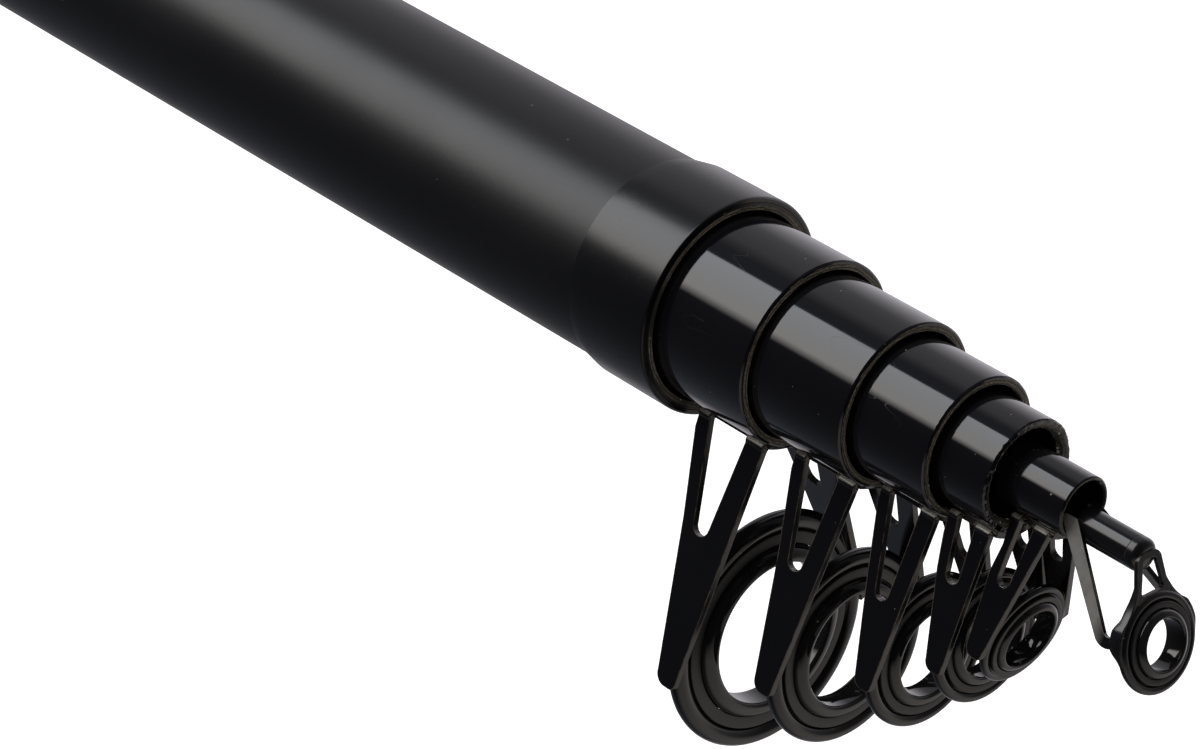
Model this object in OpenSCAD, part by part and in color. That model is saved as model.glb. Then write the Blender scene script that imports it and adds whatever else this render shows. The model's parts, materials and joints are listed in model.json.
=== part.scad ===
// Telescopic fishing rod, closed, with a ring guide under the mouth of each section
// The rod lies along X with its tip towards +X, and the guides hang below it.
// The origin is the centre of the butt's end face.

/* [Butt] */
// Length of the butt blank
butt_len = 640; // [600:5:760]
// Outside diameter of the butt blank just ahead of the reel seat
butt_mid_d = 25.2; // [24.4:0.1:25.6]
// Outside diameter of the butt blank at its mouth
butt_mouth_d = 22.75; // [22.2:0.05:23.4]
// Wall of the butt blank
butt_wall = 0.98; // [0.8:0.02:1.1]
// Wall of the reinforcing collar round the butt's mouth
collar_wall = 0.57; // [0.4:0.01:0.8]
// Length of the collar
collar_len = 11.5; // [9:0.5:16]
// Height of the collar's rear edge above the blank
collar_edge = 0.15; // [0.05:0.05:0.2]
// Length of the collar's sloped rear edge
collar_slope = 2; // [1.2:0.1:3]

/* [Sections] */
// How far section 2 stands out of the butt
section_2_out = 12.5; // [11:0.1:16]
// How far section 3 stands out of section 2
section_3_out = 12.6; // [11:0.1:16]
// How far section 4 stands out of section 3
section_4_out = 9.9; // [8.5:0.1:13]
// How far section 5 stands out of section 4
section_5_out = 6.6; // [6:0.1:9]
// How far section 6 stands out of section 5
section_6_out = 7.3; // [6.5:0.1:9]
// Wall of section 2
section_2_wall = 1.1; // [0.9:0.05:1.2]
// Wall of section 3
section_3_wall = 1.05; // [0.9:0.05:1.15]
// Wall of section 4
section_4_wall = 1.0; // [0.85:0.05:1.1]
// Wall of section 5
section_5_wall = 1.35; // [1.1:0.05:1.45]
// Wall of section 6
section_6_wall = 0.5; // [0.4:0.05:0.6]
// Gap round section 2 in the butt's mouth
section_2_gap = 0.25; // [0.15:0.05:0.4]
// Gap round section 3 in the mouth of section 2
section_3_gap = 0.2; // [0.15:0.05:0.35]
// Gap round section 4 in the mouth of section 3
section_4_gap = 0.35; // [0.15:0.05:0.45]
// Gap round section 5 in the mouth of section 4
section_5_gap = 0.55; // [0.15:0.05:0.65]
// Gap round section 6 in the mouth of section 5
section_6_gap = 1.3; // [0.8:0.05:1.4]
// Length of the rear taper by which section 2 locks in the butt
section_2_lock = 70; // [50:5:90]
// Length of the rear taper by which section 3 locks
section_3_lock = 62; // [45:5:80]
// Length of the rear taper by which section 4 locks
section_4_lock = 56; // [40:5:75]
// Length of the rear taper by which section 5 locks
section_5_lock = 50; // [40:5:70]
// Length of the rear taper by which section 6 locks
section_6_lock = 45; // [35:5:60]
// Length of the rear taper by which the tip section locks
tip_lock = 40; // [30:5:55]
// Clearance of a locked taper in the section outside it
taper_clear = 0.08; // [0.05:0.01:0.1]
// Bevel on the edges of a section's mouth
mouth_bevel = 0.16; // [0.08:0.02:0.18]

/* [Ring guides] */
// Outside diameter of the ring on section 2
guide_2_ring_d = 26.6; // [24:0.1:28]
// Outside diameter of the ring on section 3
guide_3_ring_d = 21.4; // [19:0.1:22.5]
// Outside diameter of the ring on section 4
guide_4_ring_d = 16.6; // [15:0.1:17.5]
// Outside diameter of the ring on section 5
guide_5_ring_d = 14.2; // [13:0.1:14.8]
// Outside diameter of the ring on section 6
guide_6_ring_d = 11.2; // [10.6:0.1:11.8]
// Bore of the ring on section 2
guide_2_bore_d = 15.8; // [14:0.1:17]
// Bore of the ring on section 3
guide_3_bore_d = 12.4; // [11:0.1:13.4]
// Bore of the ring on section 4
guide_4_bore_d = 9.2; // [8.4:0.1:10]
// Bore of the ring on section 5
guide_5_bore_d = 8.0; // [7:0.1:8.4]
// Bore of the ring on section 6
guide_6_bore_d = 6.5; // [6:0.1:6.8]
// Drop of the ring's centre below the rod's axis on section 2
guide_2_drop = 35.0; // [33:0.1:40]
// Drop of the ring's centre on section 3
guide_3_drop = 31.1; // [29:0.1:34]
// Drop of the ring's centre on section 4
guide_4_drop = 25.7; // [24:0.1:29]
// Drop of the ring's centre on section 5
guide_5_drop = 20.0; // [19.5:0.1:24]
// Drop of the ring's centre on section 6
guide_6_drop = 17.15; // [16:0.05:19]
// How far the ring of section 2 stands ahead of the butt's mouth
guide_2_ahead = 7.7; // [6:0.1:8]
// How far the ring of section 3 stands ahead of the mouth of section 2
guide_3_ahead = 6.65; // [6:0.05:8]
// How far the ring of section 4 stands ahead of the mouth of section 3
guide_4_ahead = 5.2; // [4:0.1:6]
// How far the ring of section 5 stands ahead of the mouth of section 4
guide_5_ahead = 2.9; // [2.2:0.1:3.4]
// How far the ring of section 6 stands ahead of the mouth of section 5
guide_6_ahead = 1.2; // [0.7:0.1:2]
// Distance from the butt's mouth to the rear legs on section 2
guide_2_rear = 1.1; // [0.9:0.1:1.6]
// Distance from the mouth of section 2 to the rear legs on section 3
guide_3_rear = 2.1; // [1.2:0.1:2.4]
// Distance from the mouth of section 3 to the rear legs on section 4
guide_4_rear = 1.0; // [0.8:0.1:1.6]
// Distance from the mouth of section 4 to the rear legs on section 5
guide_5_rear = 0.4; // [0.4:0.1:0.9]
// Distance from the mouth of section 5 to the rear legs on section 6
guide_6_rear = 0.4; // [0.4:0.1:0.9]
// Distance from the front legs on section 2 to its own mouth
guide_2_front = 1.9; // [1.4:0.1:2.6]
// Distance from the front legs on section 3 to its own mouth
guide_3_front = 2.1; // [1.4:0.1:2.6]
// Distance from the front legs on section 4 to its own mouth
guide_4_front = 1.5; // [1.2:0.1:2.2]
// Distance from the front legs on section 5 to its own mouth
guide_5_front = 0.8; // [0.7:0.1:1.4]
// Distance from the front legs on section 6 to its own mouth
guide_6_front = 2.2; // [1.8:0.1:2.8]
// How far the rings of sections 2 to 5 lean, lower edge towards the tip
ring_lean = 4; // [0:0.5:8]
// How far the ring of section 6 leans, lower edge towards the tip
guide_6_lean = -10; // [-12:0.5:4]
// Thickness of the sheet that the frames are stamped from
sheet = 0.7; // [0.5:0.05:0.8]
// Half of the angle that the largest frame's saddle wraps round its section
saddle_half_angle = 23; // [20:1:26]
// Width of the rear leg of the largest frame
rear_leg_w = 1.6; // [1.3:0.1:1.9]
// Width of the front leg of the largest frame
front_leg_w = 2.5; // [2:0.1:2.8]
// Width of the largest frame's side plate at its lower end
plate_end_w = 2.8; // [2.4:0.1:3.2]
// Radius of the round bottom of the slot between the legs of the largest frame
slot_r = 1.1; // [0.9:0.05:1.2]
// Radius by which a leg runs out into the saddle
leg_fillet = 0.5; // [0.3:0.05:0.7]
// Least gap from a saddle's rear edge to the mouth behind it
saddle_clear = 0.3; // [0.2:0.05:0.35]
// Glue gap between pieces that are bonded
glue_gap = 0.05; // [0.03:0.01:0.08]

/* [Tip guide] */
// Diameter of the tip section where the tip guide's tube fits
tip_end_d = 2.3; // [1.9:0.1:2.5]
// Gap under the loose tip section in the mouth of section 6
tip_rest_gap = 0.2; // [0.1:0.05:0.4]
// Wall of the tip guide's tube
tip_tube_wall = 0.5; // [0.3:0.05:0.6]
// Length of the tip guide's tube
tip_tube_len = 6.3; // [6:0.1:6.6]
// Gap between that tube and the mouth of section 6
tip_tube_gap = 0.3; // [0.2:0.05:0.6]
// Outside diameter of the tip ring
tip_ring_d = 10.1; // [9.4:0.1:10.6]
// Bore of the tip ring
tip_bore_d = 5.1; // [4.4:0.1:5.4]
// Drop of the tip ring's centre below the rod's axis
tip_drop = 9.6; // [9.2:0.1:10.4]
// How far the arch's top stands ahead of the tube's end
tip_arch_ahead = 1.5; // [1.2:0.05:1.8]
// How far the tip ring leans, lower edge towards the tip
tip_lean = 15; // [13:0.5:16]
// Width of the long braces
brace_w = 1.1; // [0.8:0.1:1.3]
// Width of the front legs
tip_leg_w = 0.7; // [0.55:0.05:0.85]
// Thickness of the tip guide's sheet
tip_sheet = 0.5; // [0.4:0.05:0.6]

/* [Reel seat] */
// Distance from the butt's end face to the seat's rear end
seat_x = 235; // [225:1:245]
// Length of the seat's barrel
seat_len = 108; // [104:1:112]
// Wall of the seat's barrel
seat_wall = 1.8; // [1.5:0.1:2.4]
// Distance from the seat's rear end to the lock nut when it is wound right back
nut_back = 7; // [4:0.5:9]
// Depth of the flat that the reel's foot lies on
bed_depth = 0.9; // [0.5:0.1:1.2]
// Width of the hoods' pockets
pocket_w = 17; // [15:0.5:18]
// Height of the hoods' pockets
pocket_h = 5.4; // [4.6:0.1:6]
// Depth of the hoods' pockets
pocket_depth = 13; // [10:0.5:15]
// Length of a hood
hood_len = 24; // [21:0.5:27]
// Wall of a hood
hood_wall = 1.9; // [1.5:0.1:2.4]
// Running clearance of the sliding hood and its nut on the barrel
hood_clear = 0.08; // [0.05:0.01:0.1]
// Length of the lock nut
nut_len = 11; // [9:0.5:12]
// Gap between the nut and the hood it pushes
nut_gap = 0.2; // [0.1:0.05:0.3]
// Number of grooves round the nut
nut_grooves = 24; // [18:1:30]
// Length of a trim ring at the seat's ends
trim_len = 7; // [5:0.5:8]

/* [Butt cap] */
// Length of the cap's head
cap_head_len = 8; // [6:0.5:12]
// Radius round the head's rear edge
cap_round = 2.4; // [1.6:0.2:3]
// How far the head is smaller than the butt, all round
cap_relief = 0.25; // [0.2:0.05:0.4]
// Length of the threaded bush in the butt
bush_len = 14; // [10:0.5:18]
// Wall of the threaded bush
bush_wall = 1.2; // [1:0.05:1.6]
// Clearance of the cap's plug in the bush
plug_clear = 0.1; // [0.06:0.02:0.16]
// Length of the cap's plug
plug_len = 12; // [9:0.5:13.5]
// Wall of the cap's plug
plug_wall = 1.6; // [1.2:0.1:2.2]
// Diameter of the rubber pad in the head
pad_d = 16; // [12:0.5:17]
// Thickness of the rubber pad
pad_t = 2.6; // [2:0.1:3.4]
// How far the pad stands proud of the head
pad_proud = 0.8; // [0.5:0.1:1.2]
// Thickness of the cushion that the sections rest on
cushion_t = 4; // [3:0.5:6]
// Gap between the cushion and the ends of the sections
cushion_gap = 0.4; // [0.3:0.05:0.6]
// Number of finger grooves round the head
cap_grooves = 16; // [12:1:20]

/* [Hidden] */
SECTION_NAMES = ["2", "3", "4", "5", "6"];
$fn = 96;

// Index 0 is the butt, 1 to 5 are sections 2 to 6, and 6 is the tip section
OUT = [0, section_2_out, section_3_out, section_4_out, section_5_out, section_6_out];
WALL = [butt_wall, section_2_wall, section_3_wall, section_4_wall, section_5_wall, section_6_wall];
GAP = [0, section_2_gap, section_3_gap, section_4_gap, section_5_gap, section_6_gap];
LOCK = [0, section_2_lock, section_3_lock, section_4_lock, section_5_lock, section_6_lock, tip_lock];
RING_D = [0, guide_2_ring_d, guide_3_ring_d, guide_4_ring_d, guide_5_ring_d, guide_6_ring_d];
BORE_D = [0, guide_2_bore_d, guide_3_bore_d, guide_4_bore_d, guide_5_bore_d, guide_6_bore_d];
DROP = [0, guide_2_drop, guide_3_drop, guide_4_drop, guide_5_drop, guide_6_drop];
AHEAD = [0, guide_2_ahead, guide_3_ahead, guide_4_ahead, guide_5_ahead, guide_6_ahead];
REAR = [0, guide_2_rear, guide_3_rear, guide_4_rear, guide_5_rear, guide_6_rear];
FRONT = [0, guide_2_front, guide_3_front, guide_4_front, guide_5_front, guide_6_front];
LEAN = [0, ring_lean, ring_lean, ring_lean, ring_lean, guide_6_lean];
TIP = len(SECTION_NAMES) + 1;

// Along the rod
HEAD_X = pad_proud + cap_head_len;
PLUG_X = HEAD_X + plug_len;
REAR_X = PLUG_X + cushion_t + cushion_gap;
TUBE_X = mouth_x(TIP - 1) + tip_tube_gap;
TUBE_END_X = TUBE_X + tip_tube_len;
SEAT_END_X = seat_x + seat_len;
STRAIGHT_X = seat_x - trim_len;
MID_X = SEAT_END_X + trim_len;
FIXED_HOOD_X = SEAT_END_X - hood_len;
NUT_X = seat_x + nut_back;
SLIDING_HOOD_X = NUT_X + nut_len + nut_gap;

// Across the rod
MID_R = butt_mid_d / 2;
BUSH_BORE_R = rear_r(1) + glue_gap;
BUTT_BORE_R = BUSH_BORE_R + bush_wall + glue_gap;
BUTT_R = BUTT_BORE_R + butt_wall;
PLUG_R = BUSH_BORE_R - plug_clear;
BARREL_R = BUTT_R + glue_gap + seat_wall;
BED_Z = BARREL_R - bed_depth;
HOOD_R = BARREL_R + hood_clear + hood_wall;
TIP_TUBE_R = tip_end_d / 2 + glue_gap + tip_tube_wall;
TIP_SEAT_R = TIP_TUBE_R + glue_gap;
TIP_SAG = bore_r(TIP - 1) - tip_end_d / 2 - tip_rest_gap;
TIP_RISE = (tip_drop - TIP_SAG) / cos(tip_lean);
TIP_RING_X = TUBE_END_X + tip_arch_ahead + TIP_RISE * sin(tip_lean);

// How much further each frame's saddle wraps than the largest one
SADDLE_SHARE = [0, 1, 1, 1, 1.4, 1.4];

// Slot between the legs: shares of the plate's length and of the legs' spread
SLOT_DOWN = [0, 0.39, 0.42, 0.49, 0.37, 0.42];
SLOT_ALONG = [0, 0.5, 0.46, 0.48, 0.45, 0.27];

// Side plate: how far its front edge stands ahead of the ring, and its place at the ring's side
PLATE_AHEAD = [0, 1.1, 1, 1.2, 1.6, 0.3];
PLATE_OVER = 0.35;
PLATE_BELOW_SHARE = 0.12;
FRONT_CORNER_SHARE = 0.22;
REAR_CORNER_SHARE = 0.5;

// Shares of a ring's band, from its bore to its outside
INSERT_SHARE = 0.34;
INSERT_RISE_SHARE = 0.2;
SEAT_SHARE = 0.5;
LIP_SHARE = 0.6;
BEAD_SHARE = 0.2;
LIP_T = 0.35;
BRACE_FOOT_ANGLE = 80;
ARCH_FOOT_ANGLE = 26;
BRACE_INSET = 1.3;
BRACE_RISE = 1.3;
FLANGE_W = 0.7;
CROTCH_BACK = 1.4;
CROTCH_R = 0.7;
CROTCH_ANGLE = 60;
EYE_TOP = 0.95;
EYE_LOW = 1.5;
EYE_R = 0.45;

// Small details of the seat and the cap
HOOD_CORNER = 4;
HOOD_WAIST = 0.8;
HOOD_FLARE = 2.4;
NOSE_SHARE = 0.7;
NOSE_DROP = 0.8;
POCKET_CORNER = 2.5;
NUT_EDGE = 0.8;
NUT_GROOVE_R = 1.1;
TRIM_EDGE = 0.5;
CAP_GROOVE_R = 1.6;
CAP_LAND = 2;
PAD_EDGE = 0.5;

// Steps in an arc, and how far a cut runs past the solid it cuts
ARC_STEPS = $fn / 12;
CUT = 1;

function mouth_x(k) = k == 0 ? HEAD_X + butt_len : mouth_x(k - 1) + OUT[k];
function mouth_r(k) = k == 0 ? butt_mouth_d / 2 : k == TIP ? tip_end_d / 2 : bore_r(k - 1) - GAP[k];
function bore_r(k) = mouth_r(k) - WALL[k];
function lock_r(k) = bore_r(k - 1) - taper_clear;
function front_x(k) = k == TIP ? TUBE_X : mouth_x(k);
function slope(k) = k == 0
    ? (MID_R - mouth_r(0)) / (mouth_x(0) - MID_X)
    : (lock_r(k) - mouth_r(k)) / (front_x(k) - REAR_X - LOCK[k]);
function rear_r(k) = lock_r(k) + LOCK[k] * slope(k - 1);
function seat_bore_r(x) = BUTT_R + glue_gap - (BUTT_R - MID_R) * (x - STRAIGHT_X) / (MID_X - STRAIGHT_X);
function frame_scale(k) = (1 + RING_D[k] / guide_2_ring_d) / 2;
function arc(c, r, from, to) = [for (i = [0:ARC_STEPS])
    let (a = from + (to - from) * i / ARC_STEPS) c + r * [cos(a), sin(a)]];

// Solid turned round the rod's axis from points of radius and distance along it
module turned(points) {
    rotate([0, 90, 0])
        rotate_extrude()
            polygon(points);
}

// Ring turned round the line's path, from points of radius and distance along it
module ring_at(x, drop, lean) {
    translate([x, 0, -drop])
        rotate([0, 90 - lean, 0])
            rotate_extrude()
                children();
}

// Round rod from one point of the axis to another
module bar(x0, x1, r) {
    translate([x0, 0, 0])
        rotate([0, 90, 0])
            cylinder(r = r, h = x1 - x0);
}

module butt_blank() {
    end_x = mouth_x(0);
    r = mouth_r(0);
    color([0.06, 0.06, 0.065])
        turned([
            [BUTT_BORE_R, HEAD_X], [BUTT_R, HEAD_X], [BUTT_R, STRAIGHT_X], [MID_R, MID_X],
            [r, end_x], [bore_r(0) + mouth_bevel, end_x], [bore_r(0), end_x - mouth_bevel],
            [MID_R - butt_wall, MID_X], [BUTT_BORE_R, STRAIGHT_X]]);
}

module mouth_collar() {
    end_x = mouth_x(0);
    start_x = end_x - collar_len;
    seat_r = mouth_r(0) + glue_gap;
    rear_seat_r = seat_r + collar_len * slope(0);
    outer_r = seat_r + collar_wall;
    color([0.07, 0.068, 0.066])
        turned([
            [rear_seat_r, start_x], [rear_seat_r + collar_edge, start_x],
            [outer_r, start_x + collar_slope], [outer_r, end_x - mouth_bevel],
            [outer_r - mouth_bevel, end_x], [seat_r, end_x]]);
}

module thread_bush() {
    color([0.55, 0.56, 0.58])
        difference() {
            bar(HEAD_X, HEAD_X + bush_len, BUTT_BORE_R - glue_gap);
            bar(HEAD_X - CUT, HEAD_X + bush_len + CUT, BUSH_BORE_R);
        }
}

// Hollow tapered blank with a steeper locking taper at its rear
module section_blank(k) {
    lock_x = REAR_X + LOCK[k];
    end_x = mouth_x(k);
    color([0.03, 0.03, 0.035])
        turned([
            [rear_r(k) - WALL[k], REAR_X], [rear_r(k), REAR_X], [lock_r(k), lock_x],
            [mouth_r(k), end_x - mouth_bevel], [mouth_r(k) - mouth_bevel, end_x],
            [bore_r(k) + mouth_bevel, end_x], [bore_r(k), end_x - mouth_bevel],
            [lock_r(k) - WALL[k], lock_x]]);
}

// Solid tip section, which lies low in the mouth of section 6 while the rod is closed
module tip_blank() {
    pivot_x = REAR_X + tip_lock / 2;
    lock_x = tip_lock / 2;
    start_x = TUBE_X - pivot_x;
    end_x = TUBE_END_X - tip_tube_wall - glue_gap - pivot_x;
    color([0.05, 0.05, 0.055])
        translate([pivot_x, 0, 0])
            rotate([0, atan2(TIP_SAG, start_x), 0])
                turned([
                    [0, -lock_x], [rear_r(TIP), -lock_x], [lock_r(TIP), lock_x],
                    [tip_end_d / 2, start_x], [tip_end_d / 2, end_x], [0, end_x]]);
}

// Outline of a frame's side plate: distance along the rod by distance down the plate
module side_plate_outline(rear, rear_fillet, front, clear_s, end, slot_c, size) {
    rear_w = rear_leg_w * size;
    front_w = front_leg_w * size;
    end_w = plate_end_w * size;
    bottom_r = slot_r * size;
    front_r = end_w * FRONT_CORNER_SHARE;
    rear_r = end_w * REAR_CORNER_SHARE;
    difference() {
        polygon(concat(
            [[rear - rear_fillet, 0], [front + leg_fillet, 0]],
            arc([front + leg_fillet, leg_fillet], leg_fillet, 270, 180),
            arc(end - [front_r, front_r], front_r, 0, 90),
            arc(end - [end_w - rear_r, rear_r], rear_r, 90, 180),
            [[slot_c.x - bottom_r - rear_w, slot_c.y], [rear, clear_s]],
            arc([rear - rear_fillet, rear_fillet], rear_fillet, 360, 270)));
        polygon(concat(
            [[rear + rear_w + leg_fillet, 0]],
            arc([rear + rear_w + leg_fillet, leg_fillet], leg_fillet, 270, 180),
            arc(slot_c, bottom_r, 180, 0),
            arc([front - front_w - leg_fillet, leg_fillet], leg_fillet, 360, 270)));
    }
}

// A pair of flat pieces splayed from the saddle's edges to the ring's sides, from one depth to another
module side_pair(top, bottom, inner, outer) {
    splay = atan2(bottom.x - top.x, bottom.y - top.y);
    for (side = [0, 1])
        mirror([0, side, 0])
            translate([0, top.x, -top.y])
                rotate([splay - 90, 0, 0])
                    translate([0, 0, inner])
                        linear_extrude(outer - inner)
                            children();
}

// Flat ring of the frame with a rolled bead round its outside
module frame_ring_profile(ring_d, bore_d, thickness) {
    band = (ring_d - bore_d) / 2;
    bead_r = band * BEAD_SHARE;
    web_r = bore_d / 2 + band * SEAT_SHARE;
    translate([ring_d / 2 - bead_r, 0])
        circle(r = bead_r);
    translate([web_r, -thickness / 2])
        square([ring_d / 2 - bead_r - web_r, thickness]);
}

// Cushion ring that clips round the frame's inner edge and holds the insert
module shock_ring_profile(ring_d, bore_d, thickness) {
    band = (ring_d - bore_d) / 2;
    seat_r = bore_d / 2 + band * INSERT_SHARE;
    web_r = bore_d / 2 + band * SEAT_SHARE - glue_gap;
    lip_r = bore_d / 2 + band * LIP_SHARE;
    lip_x = thickness / 2 + glue_gap;
    half = lip_x + LIP_T;
    polygon([
        [seat_r, -half], [lip_r, -half], [lip_r, -lip_x], [web_r, -lip_x],
        [web_r, lip_x], [lip_r, lip_x], [lip_r, half], [seat_r, half]]);
}

// Polished insert with a rounded bore
module insert_profile(ring_d, bore_d, thickness) {
    band = (ring_d - bore_d) / 2;
    depth = band * INSERT_SHARE - glue_gap;
    half = thickness / 2 + glue_gap + LIP_T + band * INSERT_RISE_SHARE;
    round_r = (half * half + depth * depth) / 2 / depth;
    intersection() {
        translate([bore_d / 2 + round_r, 0])
            circle(r = round_r);
        translate([0, -2 * half])
            square([bore_d / 2 + depth, 4 * half]);
    }
}

// Stamped frame: saddle under the section, four legs in two side plates, and the ring
module guide_frame(k) {
    seat_r = mouth_r(k) + slope(k) * OUT[k] + glue_gap;
    rear_x = mouth_x(k - 1) + REAR[k];
    rear_fillet = min(leg_fillet, REAR[k] - saddle_clear);
    front_x = mouth_x(k) - FRONT[k];
    ring_x = mouth_x(k - 1) + AHEAD[k];
    ring_r = RING_D[k] / 2;
    mid_r = seat_r + sheet / 2;
    half_angle = saddle_half_angle * SADDLE_SHARE[k];
    top = mid_r * [sin(half_angle), cos(half_angle)];
    bottom = [ring_r + PLATE_OVER, DROP[k] + ring_r * PLATE_BELOW_SHARE];
    end_s = norm(bottom - top);
    clear_s = end_s * (mouth_r(k - 1) + saddle_clear - top.y) / (bottom.y - top.y);
    end = [ring_x + PLATE_AHEAD[k], end_s];
    slot_c = [rear_x + (front_x - rear_x) * SLOT_ALONG[k], end_s * SLOT_DOWN[k]];
    saddle_x = rear_x - rear_fillet;
    saddle_len = front_x + leg_fillet - saddle_x;
    color([0.045, 0.045, 0.05])
        difference() {
            union() {
                translate([saddle_x, 0, 0])
                    rotate([0, 90, 0])
                        rotate([0, 0, -half_angle])
                            rotate_extrude(angle = 2 * half_angle)
                                translate([seat_r, 0])
                                    square([sheet, saddle_len]);
                side_pair(top, bottom, -sheet / 2, sheet / 2)
                    side_plate_outline(rear_x, rear_fillet, front_x, clear_s, end, slot_c, frame_scale(k));
                difference() {
                    ring_at(ring_x, DROP[k], LEAN[k])
                        frame_ring_profile(RING_D[k], BORE_D[k], sheet);
                    side_pair(top, bottom, 0, ring_r)
                        translate([ring_x - ring_r, 0])
                            square([2 * ring_r, end_s + ring_r]);
                }
            }
            bar(saddle_x - CUT, saddle_x + saddle_len + CUT, seat_r);
        }
}

module guide_shock_ring(k) {
    color([0.02, 0.02, 0.02])
        ring_at(mouth_x(k - 1) + AHEAD[k], DROP[k], LEAN[k])
            shock_ring_profile(RING_D[k], BORE_D[k], sheet);
}

module guide_insert(k) {
    color([0.12, 0.12, 0.13])
        ring_at(mouth_x(k - 1) + AHEAD[k], DROP[k], LEAN[k])
            insert_profile(RING_D[k], BORE_D[k], sheet);
}

// Metal tube glued over the tip, with a closed end
module tip_tube() {
    inner_r = tip_end_d / 2 + glue_gap;
    floor_x = TUBE_END_X - tip_tube_wall;
    color([0.08, 0.08, 0.085])
        translate([0, 0, -TIP_SAG])
            turned([
                [inner_r, TUBE_X], [TIP_TUBE_R, TUBE_X], [TIP_TUBE_R, TUBE_END_X],
                [0, TUBE_END_X], [0, floor_x], [inner_r, floor_x]]);
}

// Stamped tip frame: a round button on the tube's end, an arch of two front legs, the ring and two braces
module tip_frame() {
    ring_r = tip_ring_d / 2;
    foot = ring_r * [sin(BRACE_FOOT_ANGLE), cos(BRACE_FOOT_ANGLE)];
    top = [TIP_SEAT_R + tip_sheet / 2, TIP_SAG];
    bottom = [foot.x, tip_drop - foot.y * cos(tip_lean)];
    foot_x = TIP_RING_X - foot.y * sin(tip_lean);
    button_x = TUBE_END_X + glue_gap;
    button_end_x = TUBE_END_X + tip_arch_ahead - glue_gap;
    round_r = TIP_TUBE_R / 2;
    color([0.16, 0.155, 0.15])
        difference() {
            union() {
                translate([0, 0, -TIP_SAG])
                    turned(concat(
                        [[0, button_x], [TIP_TUBE_R, button_x]],
                        arc([TIP_TUBE_R - round_r, button_end_x - round_r], round_r, 0, 90),
                        [[0, button_end_x]]));
                side_pair(top, bottom, -tip_sheet / 2, tip_sheet / 2)
                    brace_outline(TUBE_X - BRACE_INSET, foot_x, norm(bottom - top));
                ring_at(TIP_RING_X, tip_drop, tip_lean)
                    frame_ring_profile(tip_ring_d, tip_bore_d, tip_sheet);
                translate([TIP_RING_X, 0, -tip_drop])
                    rotate([0, 90 - tip_lean, 0]) {
                        linear_extrude(tip_sheet, center = true)
                            arch_outline(ring_r);
                        for (from = [180 - BRACE_FOOT_ANGLE, 180 + ARCH_FOOT_ANGLE])
                            rotate([0, 0, from])
                                rotate_extrude(angle = BRACE_FOOT_ANGLE - ARCH_FOOT_ANGLE)
                                    translate([ring_r - tip_sheet, -FLANGE_W])
                                        square([tip_sheet, FLANGE_W]);
                    }
            }
            translate([0, 0, -TIP_SAG])
                bar(TUBE_X - CUT, TUBE_END_X, TIP_SEAT_R);
        }
}

// Arch of the front legs in the ring's plane, from the ring's top to the tube's end
module arch_outline(ring_r) {
    low = -ring_r * cos(ARCH_FOOT_ANGLE);
    top_r = EYE_R + tip_leg_w;
    top_c = [-TIP_RISE + EYE_R, EYE_TOP - EYE_R];
    eye_c = [-ring_r - EYE_R, EYE_LOW - EYE_R];
    difference() {
        polygon(concat(
            [[low, EYE_LOW + tip_leg_w]],
            arc(top_c, top_r, 90, 180),
            arc([top_c.x, -top_c.y], top_r, 180, 270),
            [[low, -EYE_LOW - tip_leg_w]]));
        polygon(concat(
            arc(eye_c, EYE_R, 0, 90),
            arc(top_c, EYE_R, 90, 180),
            arc([top_c.x, -top_c.y], EYE_R, 180, 270),
            arc([eye_c.x, -eye_c.y], EYE_R, 270, 360)));
    }
}

// Long brace from the tube's side to the ring's side, with a round crotch at its foot
module brace_outline(rear, foot_x, end_s) {
    crotch_c = [foot_x - CROTCH_BACK - CROTCH_R / 2, end_s - brace_w - CROTCH_R / 2];
    run = crotch_c - [rear, -BRACE_RISE];
    width_x = brace_w * norm(run) / run.y;
    angle = atan2(run.y, run.x);
    end_r = brace_w / 2;
    difference() {
        polygon(concat(
            [[rear, end_r - BRACE_RISE]],
            arc([rear + end_r, end_r - BRACE_RISE], end_r, 180, 270),
            [[rear + width_x, -BRACE_RISE], [foot_x, crotch_c.y]],
            arc(crotch_c, CROTCH_R + brace_w, CROTCH_ANGLE, 90 + angle)));
        polygon(concat(
            [[rear + width_x, -BRACE_RISE]],
            arc(crotch_c, CROTCH_R, 90 + angle, 0),
            [[foot_x, crotch_c.y]]));
    }
}

module tip_shock_ring() {
    color([0.02, 0.02, 0.02])
        ring_at(TIP_RING_X, tip_drop, tip_lean)
            shock_ring_profile(tip_ring_d, tip_bore_d, tip_sheet);
}

module tip_insert() {
    color([0.12, 0.12, 0.13])
        ring_at(TIP_RING_X, tip_drop, tip_lean)
            insert_profile(tip_ring_d, tip_bore_d, tip_sheet);
}

// Barrel with a flat along its underside for the reel's foot
module reel_seat_barrel() {
    bed_x = SLIDING_HOOD_X + hood_len - pocket_depth;
    bed_end_x = FIXED_HOOD_X + pocket_depth;
    color([0.05, 0.05, 0.05])
        difference() {
            bar(seat_x, SEAT_END_X, BARREL_R);
            turned([
                [0, STRAIGHT_X], [seat_bore_r(STRAIGHT_X), STRAIGHT_X],
                [seat_bore_r(MID_X), MID_X], [0, MID_X]]);
            translate([bed_x, -BARREL_R, -BARREL_R - CUT])
                cube([bed_end_x - bed_x, 2 * BARREL_R, CUT + bed_depth]);
        }
}

// Outline of a hood across the rod: a ring with a bulge below it round the pocket
module hood_outline() {
    half = pocket_w / 2 + hood_wall;
    low = BED_Z + pocket_h + hood_wall;
    waist = half * HOOD_WAIST;
    circle(r = HOOD_R);
    polygon(concat(
        [[waist, 0], [-waist, 0]],
        arc([-half + HOOD_CORNER, -low + HOOD_CORNER], HOOD_CORNER, 180, 270),
        arc([half - HOOD_CORNER, -low + HOOD_CORNER], HOOD_CORNER, 270, 360)));
}

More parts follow.
